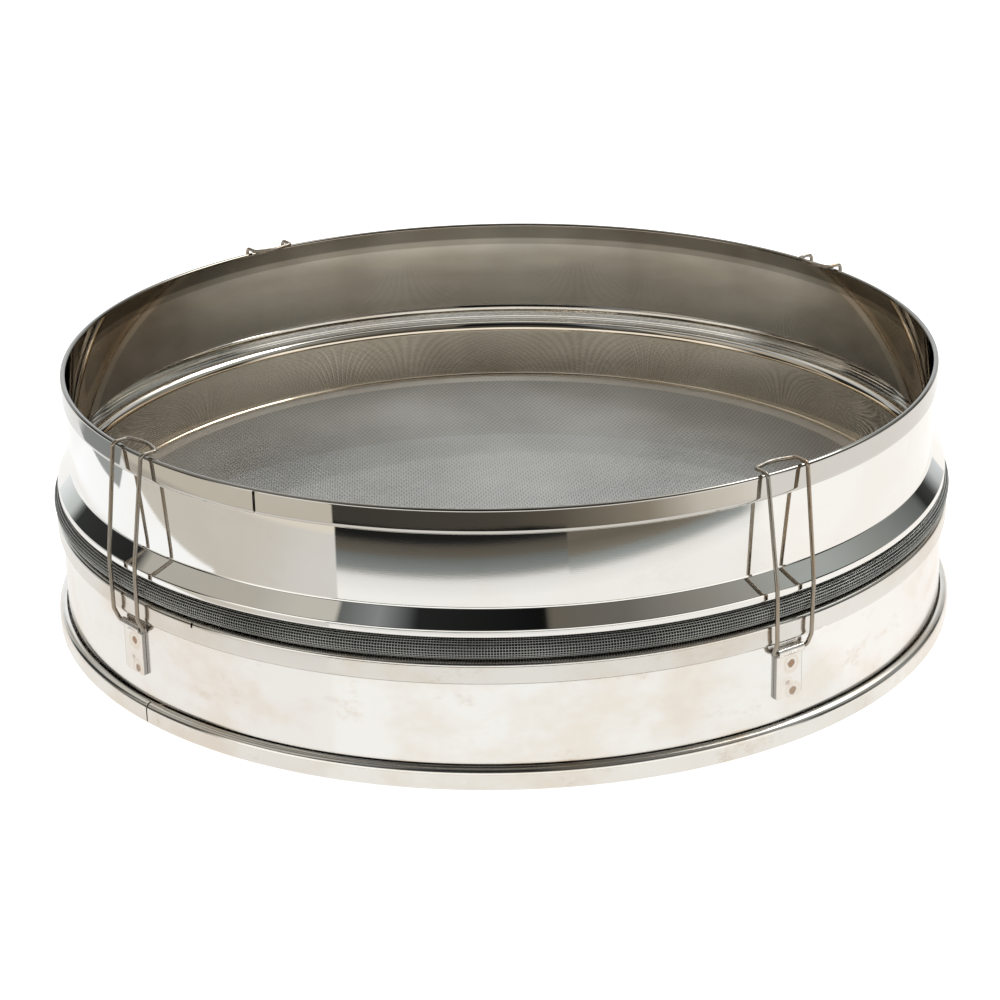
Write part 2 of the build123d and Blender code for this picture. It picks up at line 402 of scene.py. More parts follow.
def polished_steel(name, colour, roughness, haze, stain, wall, painted_shade_bands):
    """Sheet steel: soft waves, hairline polish, smears, stains and clouds, and an inside darkened by dirt
    patches and by painted reflection that changes with height.

    The list of painted shade darkens the hems, the crest and the foot: each entry is (low, high, tone), from
    one height to another."""
    finish = Finish(name)
    shader = finish.shader
    red, green, blue = colour
    shader.inputs["Metallic"].default_value = 1.0
    smear = finish.noise(scale=9.0, detail=4.0, stretch=(1, 1, 0.35), roughness=0.6)
    spots = finish.noise(scale=46.0, detail=5.0, stretch=(1, 1, 1.6), roughness=0.7)
    stained = finish.ramp(spots, 0.56, 0.78, 0.0, stain)
    smeared = finish.ramp(smear, 0.45, 0.75, 0.0, stain * 0.8)
    base = finish.blend(stained, colour, (red * 0.80, green * 0.70, blue * 0.60))
    base = finish.blend(smeared, base, (red * 0.90, green * 0.84, blue * 0.78))
    clouds = finish.noise(scale=26.0, detail=4.0, stretch=(1, 1, 1.5), roughness=0.6)
    cloudy = finish.ramp(clouds, 0.42, 0.66, 0.0, min(stain, 1.0))
    base = finish.times(base, finish.blend(cloudy, WHITE, (0.92, 0.86, 0.79)))

    x, y, z = finish.split(finish.place)
    patches = finish.noise(scale=13.0, detail=3.0, stretch=(1, 1, 0.3), roughness=0.6)
    # Inside the wall: brown dirt patches, times painted reflection tones that change with height
    dirt_and_painted_reflection = finish.blend(finish.ramp(patches, 0.35, 0.7), (0.72, 0.66, 0.57), (0.52, 0.44, 0.36))
    dirt_and_painted_reflection = finish.times(dirt_and_painted_reflection, finish.colours(z, 0.02, 0.1, INSIDE_PAINTED_REFLECTION))
    inside = finish.ramp(finish.length(x, y), wall - STEP, wall + STEP, 1.0, 0.0)
    base = finish.times(base, finish.blend(inside, WHITE, dirt_and_painted_reflection))
    # Painted shade: each entry darkens the base from its low to its high height
    for low, high, tone in painted_shade_bands:
        painted_shade_band = finish.math("MULTIPLY", finish.ramp(z, low - STEP, low + STEP),
                           finish.ramp(z, high - STEP, high + STEP, 1.0, 0.0))
        base = finish.times(base, finish.blend(painted_shade_band, WHITE, darker((1.0, 0.985, 0.96), tone)))
    finish.link(base, shader.inputs["Base Color"])

    hairlines = finish.noise(scale=260.0, detail=3.0, stretch=(1, 1, 14), roughness=0.6)
    rough = finish.math("ADD", finish.ramp(smear, 0.3, 0.8, roughness, roughness + haze),
                        finish.math("MULTIPLY", hairlines, haze * 0.35))
    finish.link(rough, shader.inputs["Roughness"])
    waves = finish.bump(finish.noise(scale=11.0, detail=1.0, stretch=(1, 1, 0.6)), 0.0002)
    finish.link(finish.bump(hairlines, 0.0000012, under=waves), shader.inputs["Normal"])
    return finish.material


def plain_metal(name, colour, roughness):
    """Even metal with a slightly uneven tone."""
    finish = Finish(name)
    tone = finish.ramp(finish.noise(scale=30.0, detail=3.0), 0.3, 0.7)
    base = finish.blend(tone, darker(colour, 0.75), darker(colour, 1.25))
    finish.link(base, finish.shader.inputs["Base Color"])
    finish.shader.inputs["Metallic"].default_value = 1.0
    finish.shader.inputs["Roughness"].default_value = roughness
    return finish.material


def screen_wire(name, colour, pitch, turn, along_x):
    """Fine drawn wire of the screen, dipping over and under its neighbours, with a painted pattern of
    highlights where the wires cross, and lighter at the border.
    """
    finish = Finish(name)
    shader = finish.shader
    mapping = finish.add("ShaderNodeMapping")
    mapping.inputs["Rotation"].default_value = (0, 0, -math.radians(turn))
    finish.link(finish.place, mapping.inputs["Vector"])
    x, y = finish.split(mapping.outputs[0])[:2]

    def wave(place, half_length):
        return finish.math("SINE", finish.math("MULTIPLY", place, math.pi / half_length))

    over = finish.math("MULTIPLY", wave(x, pitch), wave(y, pitch))
    over = finish.math("MULTIPLY", over, 1.0 if along_x else -1.0)
    # Painted highlights: a pattern of light and shade that stands in for the highlights on the crossing
    # wires
    painted_knuckle_sheen = finish.math("MULTIPLY", wave(x, pitch), wave(y, pitch * 2.15))
    tone = finish.math("MULTIPLY_ADD", painted_knuckle_sheen, 0.28, finish.noise(scale=24.0, detail=3.0))
    base = finish.blend(finish.ramp(tone, 0.1, 0.9), darker(colour, 0.72), darker(colour, 1.2))
    border = finish.ramp(finish.length(x, y), 0.1425, 0.1435)
    finish.link(finish.blend(border, base, (0.95, 0.93, 0.88)), shader.inputs["Base Color"])
    shader.inputs["Metallic"].default_value = 0.15
    shader.inputs["Roughness"].default_value = 0.5
    finish.link(finish.bump(over, pitch * 0.1), shader.inputs["Normal"])
    return finish.material


def drawn_wire(name, colour):
    """Spring wire: drawing marks along it and a brown film."""
    finish = Finish(name)
    shader = finish.shader
    red, green, blue = colour
    tone = finish.noise(scale=90.0, detail=4.0, stretch=(1, 1, 0.5), roughness=0.6)
    film = finish.noise(scale=700.0, stretch=(1, 1, 0.12))
    base = finish.blend(finish.ramp(tone, 0.35, 0.7), colour, (red * 1.05, green * 0.88, blue * 0.72))
    base = finish.blend(finish.ramp(film, 0.5, 0.75, 0.0, 0.5), base, darker(colour, 0.55))
    finish.link(base, shader.inputs["Base Color"])
    shader.inputs["Metallic"].default_value = 1.0
    finish.link(finish.ramp(film, 0.3, 0.7, 0.22, 0.42), shader.inputs["Roughness"])
    finish.link(finish.bump(film, 0.00001), shader.inputs["Normal"])
    return finish.material


def strap_sheet(name, colour, tint, width, welds):
    """Strap: rolled sheet with dark edges and brown heat marks round its spot welds, laid out on the leaf.

    Welds are (place across, height, radius, strength)."""
    finish = Finish(name)
    shader = finish.shader
    red, green, blue = colour
    across, height = finish.split(finish.add("ShaderNodeUVMap", uv_map="leaf").outputs["UV"])[:2]
    ragged = finish.math("SUBTRACT", finish.noise(scale=900.0, detail=3.0), 0.5)
    ragged = finish.math("MULTIPLY", ragged, 0.0011)
    smeared = finish.ramp(finish.noise(scale=160.0, detail=4.0, stretch=(1, 1, 0.4)), 0.4, 0.75, 0.0, 0.6)
    base = finish.blend(smeared, colour, (red * 0.9, green * 0.83, blue * 0.76))
    for weld_across, weld_height, radius, strength in welds:
        near = finish.length(finish.math("SUBTRACT", across, weld_across),
                             finish.math("SUBTRACT", height, weld_height))
        near = finish.math("ADD", near, ragged)
        base = finish.blend(finish.ramp(near, radius * 0.55, radius, strength, 0.0), base, tint)
        halo = finish.math("MULTIPLY", finish.ramp(near, radius, radius * 1.2),
                           finish.ramp(near, radius * 1.5, radius * 2.1, strength * 0.35, 0.0))
        base = finish.blend(halo, base, (red * 0.8, green * 0.62, blue * 0.45))
    edge = finish.ramp(finish.math("ABSOLUTE", across), width / 2 - 0.00022, width / 2 - 0.0001)
    finish.link(finish.blend(edge, base, darker(colour, 0.5)), shader.inputs["Base Color"])
    shader.inputs["Metallic"].default_value = 1.0
    grain = finish.noise(scale=420.0, detail=3.0, stretch=(1, 1, 0.15))
    finish.link(finish.ramp(grain, 0.3, 0.7, 0.18, 0.34), shader.inputs["Roughness"])
    finish.link(finish.bump(grain, 0.000006), shader.inputs["Normal"])
    return finish.material


# Pieces

class SIEVE_OT_upper_hoop(bpy.types.Operator):
    """Upper hoop: folded rim, wall, flare, lip and the spigot that holds the screen"""
    bl_idname = "sieve.upper_hoop"
    bl_label = "Upper Hoop"

    def execute(self, context):
        size, colour = context.scene.sieve_sizes, context.scene.sieve_colours
        half = size.sheet / 2
        hem_width, hem_gap, hem_lip, hem_slope = 0.0081, 0.0006, 0.0005, 0.0006
        flare_rise, lip_rise, lip_reach, lip_lean, turned_in = 0.00765, 0.0022, 0.00145, 0.0001, 0.0012
        slit_angle, slit_width = -30.0, 0.0009
        wall, hem = size.upper_radius, size.upper_radius + size.sheet + hem_gap
        throat = size.roll_thickness / 2 + SEAT_GAP + half
        shoulder, spigot = size.roll_height + throat, size.roll_radius - throat
        foot, crest = size.screen_height + SEAT_GAP + half, size.top - half
        hem_foot, lip = size.top - hem_width, size.roll_radius + lip_reach
        corners = [(hem - hem_lip, 0, hem_foot), (hem, 0, hem_foot + hem_slope), (hem, 0, crest),
                   (wall, 0, crest), (wall, 0, shoulder + flare_rise),
                   (lip - lip_lean, 0, shoulder + lip_rise), (lip, 0, shoulder),
                   (spigot, 0, shoulder), (spigot, 0, foot), (spigot - turned_in, 0, foot)]
        bend = (hem - wall) / 2 * 0.97
        radii = [0.0016, bend, bend, 0.0015, 0.0008, 0.0007, throat, 0.00102]
        hoop = bent_line("upper_hoop_steel", corners, radii, HOOP_SEGMENTS)
        spin_sheet(hoop, size.steps)
        cut_slit(hoop, slit_angle, slit_width, (wall + hem) / 2 + 0.0001,
                 hem_foot - 0.001, crest - bend * 0.6)
        thicken(hoop, size.sheet, SHEET_EDGE)
        recalculate(hoop)
        smooth(hoop)
        # Painted shade on the hem and on the top of the crest
        painted_shade_bands = [(hem_foot, size.top, 0.70), (crest - 0.0002, size.top + half, 0.5)]
        steel = polished_steel("mirror steel", colour.upper_steel, 0.02, 0.02, 0.25, wall, painted_shade_bands)
        settle(hoop, "hoop", "hoop_steel", steel, "upper_hoop")
        return {"FINISHED"}


class SIEVE_OT_lower_hoop(bpy.types.Operator):
    """Lower hoop: hem that carries the screen, straight wall and rolled foot"""
    bl_idname = "sieve.lower_hoop"
    bl_label = "Lower Hoop"

    def execute(self, context):
        size, colour = context.scene.sieve_sizes, context.scene.sieve_colours
        half = size.sheet / 2
        hem_width, hem_gap, hem_lip, hem_slope = 0.0076, 0.0009, 0.0006, 0.0007
        foot_width, foot_height, foot_gap = 0.0033, 0.0074, 0.0003
        notch_angle, notch_width, notch_depth = -39.1, 0.0008, 0.0017
        slit_angle, slit_width = -47.6, 0.0006
        wall, hem = size.lower_radius, size.lower_radius + size.sheet + hem_gap
        foot, foot_top = size.lower_radius + foot_width, foot_height - half
        crest = LOWER_TOP - half - 0.0004
        hem_foot = LOWER_TOP - hem_width
        corners = [(hem - hem_lip, 0, hem_foot), (hem, 0, hem_foot + hem_slope), (hem, 0, crest),
                   (wall, 0, crest), (wall, 0, half), (foot, 0, half), (foot, 0, foot_top),
                   (wall + size.sheet + foot_gap, 0, foot_top)]
        radii = [0.0016, 0.00115, 0.0004, 0.001, 0.001, 0.002]
        hoop = bent_line("lower_hoop_steel", corners, radii, HOOP_SEGMENTS)
        spin_sheet(hoop, size.steps)
        cut_slit(hoop, notch_angle, notch_width, (wall + hem) / 2, hem_foot - 0.001, crest - 0.0003,
                 sill=crest - notch_depth)
        cut_slit(hoop, slit_angle, slit_width, wall + 0.0012, half + 0.0004, 0.009)
        thicken(hoop, size.sheet, SHEET_EDGE)
        recalculate(hoop)
        smooth(hoop)
        # Painted shade on the hem and on the foot
        painted_shade_bands = [(hem_foot, LOWER_TOP, 0.84), (0.0, foot_height, 0.92)]
        steel = polished_steel("satin steel", colour.lower_steel, 0.12, 0.08, 0.8, wall, painted_shade_bands)
        settle(hoop, "base", "hoop_steel", steel, "lower_hoop")
        return {"FINISHED"}


class SIEVE_OT_rolled_edge(bpy.types.Operator):
    """Rolled edge: the cloth's wires go up from the screen and round its ring, over a thin near-black sheet
    of painted shade
    """
    bl_idname = "sieve.rolled_edge"
    bl_label = "Rolled Edge"

    def execute(self, context):
        size, colour = context.scene.sieve_sizes, context.scene.sieve_colours
        # ground is the thickness of the near-black sheet that paints the shade inside the roll
        cloth, ground = 0.0005, 0.0001
        wrap = 5.6    # how far the cloth goes round its ring, in radians
        wire, pitch = size.net_wire, size.net_pitch
        turn = size.roll_thickness / 2 - cloth / 2
        left, right, centre = size.roll_radius - turn, size.roll_radius + turn, size.roll_height
        flat = size.screen_height - 1.5 * cloth
        corners = [(left, 0, flat), (left, 0, centre + turn), (right, 0, centre + turn),
                   (right, 0, centre - turn), (left + cloth, 0, centre - turn),
                   (left + cloth, 0, centre - 0.9 * turn)]
        radii = [turn, turn, turn, 0.0]

        # A thin near-black sheet under the wires: painted shade inside the roll
        core = bent_line("screen_roll", corners, radii, 10)
        spin_sheet(core, size.steps)
        thicken(core, ground, ground / 4)
        recalculate(core)
        smooth(core)
        settle(core, "screen", "roll_cloth", plain_metal("roll painted shade", (0.03, 0.03, 0.03), 0.8),
               "mesh_edge_wrap")

        finish = plain_metal("roll wire", colour.roll_steel, 0.34)
        count = round(2 * math.pi * size.roll_radius / pitch)
        uprights = wire_along(bent_line("roll_uprights", corners, radii, 5), wire, 0)
        bpy.ops.object.mode_set(mode="EDIT")
        bpy.ops.mesh.select_all(action="SELECT")
        bpy.ops.mesh.spin(steps=count - 1, dupli=True, angle=2 * math.pi * (count - 1) / count,
                          center=(0, 0, 0), axis=(0, 0, 1))
        bpy.ops.object.mode_set(mode="OBJECT")
        recalculate(uprights)
        bpy.ops.object.shade_smooth()
        settle(uprights, "screen", "roll_cloth", finish, "mesh_edge_wrap")

        skirt_rows, roll_rows = math.floor((centre - flat) / pitch), math.floor(wrap * turn / pitch)
        places = [(left, 0, centre - row * pitch) for row in range(1, skirt_rows + 1)]
        for row in range(roll_rows):
            angle = math.pi - row * pitch / turn
            places.append((size.roll_radius + turn * math.cos(angle), 0, centre + turn * math.sin(angle)))
        deselect_all()
        bpy.ops.mesh.primitive_circle_add(vertices=4, radius=wire / 2, location=places[0],
                                          rotation=(math.pi / 2, 0, 0))
        hoops = bpy.context.object
        hoops.name = hoops.data.name = "roll_hoops"
        apply_place(hoops)
        bpy.ops.object.mode_set(mode="EDIT")
        for place in places[1:]:
            bpy.ops.mesh.primitive_circle_add(vertices=4, radius=wire / 2, location=place,
                                              rotation=(math.pi / 2, 0, 0))
        bpy.ops.object.mode_set(mode="OBJECT")
        spin_sheet(hoops, size.steps)
        bpy.ops.object.shade_smooth()
        settle(hoops, "screen", "roll_cloth", finish, "mesh_edge_wrap")

        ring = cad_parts["screen_ring"]
        ring.data.materials.clear()
        ring.data.materials.append(drawn_wire("ring wire", (0.55, 0.55, 0.54)))
        return {"FINISHED"}


class SIEVE_OT_screen(bpy.types.Operator):
    """Screen: fine crossing wires, stretched flat"""
    bl_idname = "sieve.screen"
    bl_label = "Screen"

    def execute(self, context):
        size, colour = context.scene.sieve_sizes, context.scene.sieve_colours
        pitch, wire, turn, apart = size.net_pitch, size.net_wire, 2.0, 0.4
        reach = size.roll_radius - size.roll_thickness / 2 + 0.0001
        middle = (NET_FOOT + NET_TOP) / 2
        count = 2 * math.floor(reach / pitch)
        first = -(count - 1) / 2 * pitch
        for name, along_x, height in (("screen_weft", True, middle + wire * apart),
                                      ("screen_warp", False, middle - wire * apart)):
            deselect_all()
            bpy.ops.mesh.primitive_cylinder_add(vertices=6, radius=wire / 2, depth=2,
                                                location=(0, first, height), rotation=(0, math.pi / 2, 0))
            layer = bpy.context.object
            layer.name = layer.data.name = name
            apply_place(layer)
            bpy.ops.object.shade_smooth()
            finish_modifier("ARRAY", count=count, use_relative_offset=False, use_constant_offset=True,
                            constant_offset_displace=(0, pitch, 0))
            for vertex in layer.data.vertices:
                row = first + round((vertex.co.y - first) / pitch) * pitch
                vertex.co.x = math.copysign(math.sqrt(max(reach ** 2 - row ** 2, 0.0)), vertex.co.x)
            layer.rotation_euler = (0, 0, math.radians(turn + (0 if along_x else 90)))
            apply_place(layer)
            recalculate(layer)
            finish = screen_wire(name + " wire", colour.cloth_steel, pitch, turn, along_x)
            settle(layer, "screen", "mesh_cloth", finish, "sieve_mesh")
        return {"FINISHED"}


class SIEVE_OT_clips(bpy.types.Operator):
    """Wire clips: a bar in the strap, two legs and a hook over the rim, four times"""
    bl_idname = "sieve.clips"
    bl_label = "Wire Clips"

    def execute(self, context):
        size, colour = context.scene.sieve_sizes, context.scene.sieve_colours
        wire, low = size.clip_wire, size.pivot_height
        rim_gap, hem_gap, elbow_gap, hook_gap = 0.0005, 0.0006, 0.0005, 0.0009
        bar, foot, knee, top = 0.0003, 0.0070, 0.0074, 0.0080
        foot_rise, knee_rise, hook_reach, hook_bow = 0.0046, 0.0230, 0.0059, 0.0080
        pivot = size.lower_radius + size.sheet / 2 + wire / 2 + HINGE_GAP + STRAP_SHEET
        leg = size.roll_radius + size.roll_thickness / 2 + elbow_gap + wire / 2
        hook = size.upper_radius + 1.5 * size.sheet + hem_gap + hook_gap + wire / 2
        over = size.top + rim_gap + wire / 2
        half = [(bar, -pivot, low), (foot, -pivot, low), (foot, -leg, low + foot_rise),
                (knee, -leg, low + knee_rise), (top, -hook, over), (top, -(hook - hook_reach), over)]
        corners = half + [(0, -(hook - hook_bow), over)] + [(-x, y, z) for x, y, z in half[::-1]]
        radii = [0.0012, 0.0025, 0.03, 0.0016, 0.0016]
        clip = wire_along(bent_line("wire_clip", corners, radii + [0.012] + radii[::-1], 8), wire, 4)
        recalculate(clip)
        smooth(clip)
        finish = drawn_wire("clip wire", colour.clip_steel)
        for place, angle in enumerate(CLIP_ANGLES, start=1):
            copy = copy_turned(clip, f"clip_wire_{place}", angle)
            settle(copy, f"clip_{place}", "wire_steel", finish, f"wire_clip_{place}")
        bpy.data.objects.remove(clip, do_unlink=True)
        return {"FINISHED"}


class SIEVE_OT_straps(bpy.types.Operator):
    """Hinge straps: folded round the clip's bar and spot welded to the wall, four times"""
    bl_idname = "sieve.straps"
    bl_label = "Hinge Straps"

    def execute(self, context):
        size, colour = context.scene.sieve_sizes, context.scene.sieve_colours
        sheet, width, foot, low = STRAP_SHEET, 0.0105, STRAP_FOOT, size.pivot_height
        neck_top, neck_foot, corner_round, dent_ball, dent = 0.00049, 0.00175, 0.001, 0.009, 0.00013
        wall = size.lower_radius + size.sheet / 2
        turn = size.clip_wire / 2 + HINGE_GAP + sheet / 2
        pivot = wall + turn + sheet / 2
        inner, outer = wall + sheet / 2, wall + 1.5 * sheet
        x = -width / 2
        corners = [(x, -inner, foot), (x, -inner, low + turn), (x, -pivot - turn, low + turn),
                   (x, -pivot - turn, low - neck_top), (x, -outer, low - neck_foot), (x, -outer, foot)]
        strap = bent_line("hinge_strap", corners, [turn, turn, turn, 0.0008], 6)
        select_only(strap)
        bpy.ops.object.mode_set(mode="EDIT")
        bpy.ops.mesh.select_all(action="SELECT")
        bpy.ops.mesh.extrude_region_move(TRANSFORM_OT_translate={"value": (width, 0, 0)})
        pick(strap, lambda place: place.z < foot + 1e-6)
        bpy.ops.mesh.bevel(offset=corner_round, segments=5, affect="VERTICES")
        recalculate(strap)
        thicken(strap, sheet - 0.00002, 0.0001)

        # Big welds are pressed in a little, and the small one only shows by its colour
        drop = low - foot
        big_welds = [(0.0008, low - 0.30 * drop, 0.0018, 0.9), (0.0017, low - 0.885 * drop, 0.0018, 0.8)]
        small_weld = (-0.0004, low - 0.68 * drop, 0.0011, 0.45)
        for across, height in (weld[:2] for weld in big_welds):
            deselect_all()
            face = -(outer + sheet / 2)
            bpy.ops.mesh.primitive_uv_sphere_add(segments=48, ring_count=24, radius=dent_ball,
                                                 location=(across, face - dent_ball + dent, height))
            punch = bpy.context.object
            select_only(strap)
            finish_modifier("BOOLEAN", object=punch, operation="DIFFERENCE", solver="EXACT")
            bpy.data.objects.remove(punch, do_unlink=True)

        # The leaf's layout runs across and up it, and its back lies one metre lower, away from the welds
        layout = strap.data.uv_layers.get("leaf") or strap.data.uv_layers.new(name="leaf")
        for loop in strap.data.loops:
            place = strap.data.vertices[loop.vertex_index].co
            back = 1.0 if place.y > -(inner + outer) / 2 else 0.0
            layout.data[loop.index].uv = (place.x, place.z - back)
        recalculate(strap)
        smooth(strap, 35.0)
        welds = [big_welds[0], small_weld, big_welds[1]]
        finish = strap_sheet("strap steel", colour.strap_steel, colour.heat_tint, width, welds)
        for place, angle in enumerate(CLIP_ANGLES, start=1):
            copy = copy_turned(strap, f"hinge_strap_{place}", angle)
            settle(copy, "base", "strap_steel", finish, f"clip_strap_{place}")
        bpy.data.objects.remove(strap, do_unlink=True)
        return {"FINISHED"}


# Stage

WARM, COOL, PLAIN, BROWN = (1.0, 0.96, 0.87), (0.93, 1.0, 0.98), (1.0, 1.0, 0.98), (1.0, 0.90, 0.74)
CHILL = (0.95, 1.0, 1.04)

# What the flare mirrors: bearing from the front in degrees, brightness, tint
SURROUNDINGS = [(-180, 1.05, *CHILL), (-150, 1.05, *CHILL), (-136, 0.60, *COOL), (-133, 0.04, *COOL),
                (-110, 0.02, *COOL), (-107, 0.50, *WARM), (-77, 0.52, *WARM), (-65, 0.61, *WARM),
                (-54.5, 0.61, *WARM), (-53.5, 0.15, *COOL), (-42, 0.28, *CHILL), (-30, 0.02, *COOL),
                (14, 0.006, *COOL), (16, 0.15, *BROWN), (41, 0.16, *WARM), (65, 0.29, *WARM),
                (90, 0.45, *COOL), (98, 0.45, *COOL), (116, 0.28, *COOL), (130, 0.15, *COOL),
                (132, 0.03, *COOL), (137, 0.06, *COOL), (142, 0.62, *CHILL), (150, 0.90, *CHILL),
                (180, 1.0, *CHILL)]

# Soft dome above and below what the flare mirrors: rise of the direction, brightness, tint
DOME = [(-1.0, 0.25, *PLAIN), (0.0, 0.35, *PLAIN), (0.45, 0.45, *PLAIN), (0.8, 0.95, *PLAIN),
        (0.9, 1.15, *PLAIN), (1.0, 1.15, *PLAIN)]

# How far the dome dims towards the front: share of the direction that points forward, brightness, tint
DEPTH = [(-1.0, 1.0, *PLAIN), (-0.45, 1.0, *PLAIN), (-0.15, 0.25, *PLAIN), (0.1, 0.10, *PLAIN),
         (1.0, 0.10, *PLAIN)]

# What the wall mirrors of the ground in front, in the middle and farther right, painted on the floor as
# glow:
# distance in metres beyond the edge of the white sheet, brightness, tint
FRONT_GROUND = [(-0.020, 1.03, *PLAIN), (-0.006, 0.89, *PLAIN), (-0.0025, 0.79, *PLAIN),
                (0.001, 0.46, *PLAIN), (0.005, 0.28, *COOL), (0.0125, 0.21, *COOL), (0.016, 0.18, *COOL),
                (0.020, 0.14, *BROWN), (0.0275, 0.105, *BROWN), (0.030, 0.075, *BROWN),
                (0.0325, 0.03, *PLAIN), (0.035, 0.014, *PLAIN)]
RIGHT_GROUND = [(-0.020, 1.03, *PLAIN), (-0.0065, 0.89, *PLAIN), (-0.003, 0.63, *PLAIN),
                (0.001, 0.40, *COOL), (0.008, 0.29, *COOL), (0.012, 0.215, *BROWN),
                (0.023, 0.14, *BROWN), (0.027, 0.155, *BROWN)]

# What the hem mirrors of the ground farther out, painted on the floor as glow: bearing in radians,
# brightness, tint
FAR_GROUND = [(-0.5, 0.075, *WARM), (0.0, 0.10, *BROWN), (0.19, 0.155, *BROWN), (0.33, 0.26, *BROWN),
              (0.50, 0.40, *BROWN), (0.69, 0.86, *WARM), (0.88, 1.05, *WARM)]


def studio_world():
    """Soft studio round the sieve: a dome, the belt of tones that the flare mirrors and one bright patch."""
    world = bpy.data.worlds.new("studio")
    bpy.context.scene.world = world
    sky = Nodes(world)
    way = sky.add("ShaderNodeTexCoord").outputs["Generated"]
    side, depth, rise = sky.split(way)
    front = sky.math("MULTIPLY", depth, -1.0)
    bearing = sky.math("MULTIPLY", sky.math("ARCTAN2", side, front), 180 / math.pi)

    # The dome, lighter low down in front, where the inside of the hoop mirrors it
    dome = sky.times(sky.colours(rise, -1.0, 1.0, DOME), sky.colours(front, -1.0, 1.0, DEPTH))
    window = sky.math("MULTIPLY", sky.ramp(rise, 0.38, 0.48, 1.0, 0.0), sky.ramp(front, 0.15, 0.4))
    dome = sky.blend(window, dome, (1.25, 1.25, 1.22))

    # The belt along the line that the flare mirrors, and all that lies behind
    flare_line = sky.math("MULTIPLY_ADD", sky.math("MULTIPLY_ADD", front, -0.132, 0.534), front, 0.608)
    off = sky.math("SUBTRACT", rise, flare_line)
    belt = sky.math("MULTIPLY", sky.ramp(off, -0.24, -0.16), sky.ramp(off, 0.12, 0.20, 1.0, 0.0))
    belt = sky.math("MAXIMUM", belt, sky.ramp(front, -0.85, -0.80, 1.0, 0.0))
    glow = sky.blend(belt, dome, sky.colours(bearing, -180, 180, SURROUNDINGS))
    patch = sky.add("ShaderNodeVectorMath", operation="DOT_PRODUCT")
    sky.link(way, patch.inputs[0])
    patch.inputs[1].default_value = Vector((0.7, 0.5, 1.17)).normalized()
    glow = sky.blend(sky.ramp(patch.outputs["Value"], 0.93, 0.98), glow, (2.6, 2.6, 2.5))

    light = sky.add("ShaderNodeBackground")
    sky.link(glow, light.inputs["Color"])
    plain = sky.add("ShaderNodeBackground")
    plain.inputs["Color"].default_value = (1.0, 1.0, 1.0, 1.0)
    mix = sky.add("ShaderNodeMixShader")
    sky.link(sky.add("ShaderNodeLightPath").outputs["Is Camera Ray"], mix.inputs[0])
    sky.link(light.outputs[0], mix.inputs[1])
    sky.link(plain.outputs[0], mix.inputs[2])
    sky.link(mix.outputs[0], sky.add("ShaderNodeOutputWorld").inputs["Surface"])


def ground_ahead(finish, radius, bearing):
    """Ground in front, painted as glow for the steel to mirror: a white sheet to its edge, darker beyond,
    and tones by bearing far out.
    """
    bend = finish.math("MULTIPLY_ADD", bearing, 0.0107, 0.0170)
    beyond = finish.math("SUBTRACT", radius, finish.math("MULTIPLY_ADD", bend, bearing, 0.3095))
    near = finish.blend(finish.ramp(bearing, 0.21, 0.22), finish.colours(beyond, -0.02, 0.05, FRONT_GROUND),
                        finish.colours(beyond, -0.02, 0.05, RIGHT_GROUND))
    limit = finish.math("MINIMUM", finish.math("MULTIPLY_ADD", bearing, -0.05, 0.0515), 0.047)
    far = finish.ramp(finish.math("SUBTRACT", beyond, limit), -0.001, 0.001)
    return finish.blend(far, near, finish.colours(bearing, -1.0, 1.0, FAR_GROUND))


def ground_left(finish, x, y, radius, bearing):
    """Ground at the left, painted as glow for the steel to mirror: a grey backing sheet with a lighter
    border, a dark wedge, and white behind.
    """
    backing = finish.blend(finish.ramp(bearing, -0.95, -0.60), (0.66, 0.63, 0.575), (0.75, 0.735, 0.71))
    backing = finish.blend(finish.ramp(radius, 0.334, 0.337), backing, (0.84, 0.80, 0.71))
    slope = finish.math("ADD", finish.math("MULTIPLY", x, 0.816), finish.math("MULTIPLY", y, 0.578))
    corner = finish.math("MULTIPLY", finish.ramp(slope, -0.272, -0.268), finish.ramp(y, -0.146, -0.140))
    left = finish.blend(corner, backing, (1.10, 1.12, 1.14))
    wedge = finish.math("MULTIPLY", finish.ramp(x, -0.293, -0.290, 1.0, 0.0), finish.ramp(y, 0.002, 0.006))
    left = finish.blend(wedge, left, (0.36, 0.38, 0.38))
    left = finish.blend(finish.ramp(y, 0.10, 0.14), left, (1.05, 1.06, 1.06))
    return finish.blend(finish.ramp(radius, 0.236, 0.256), (0.98, 0.965, 0.94), left)


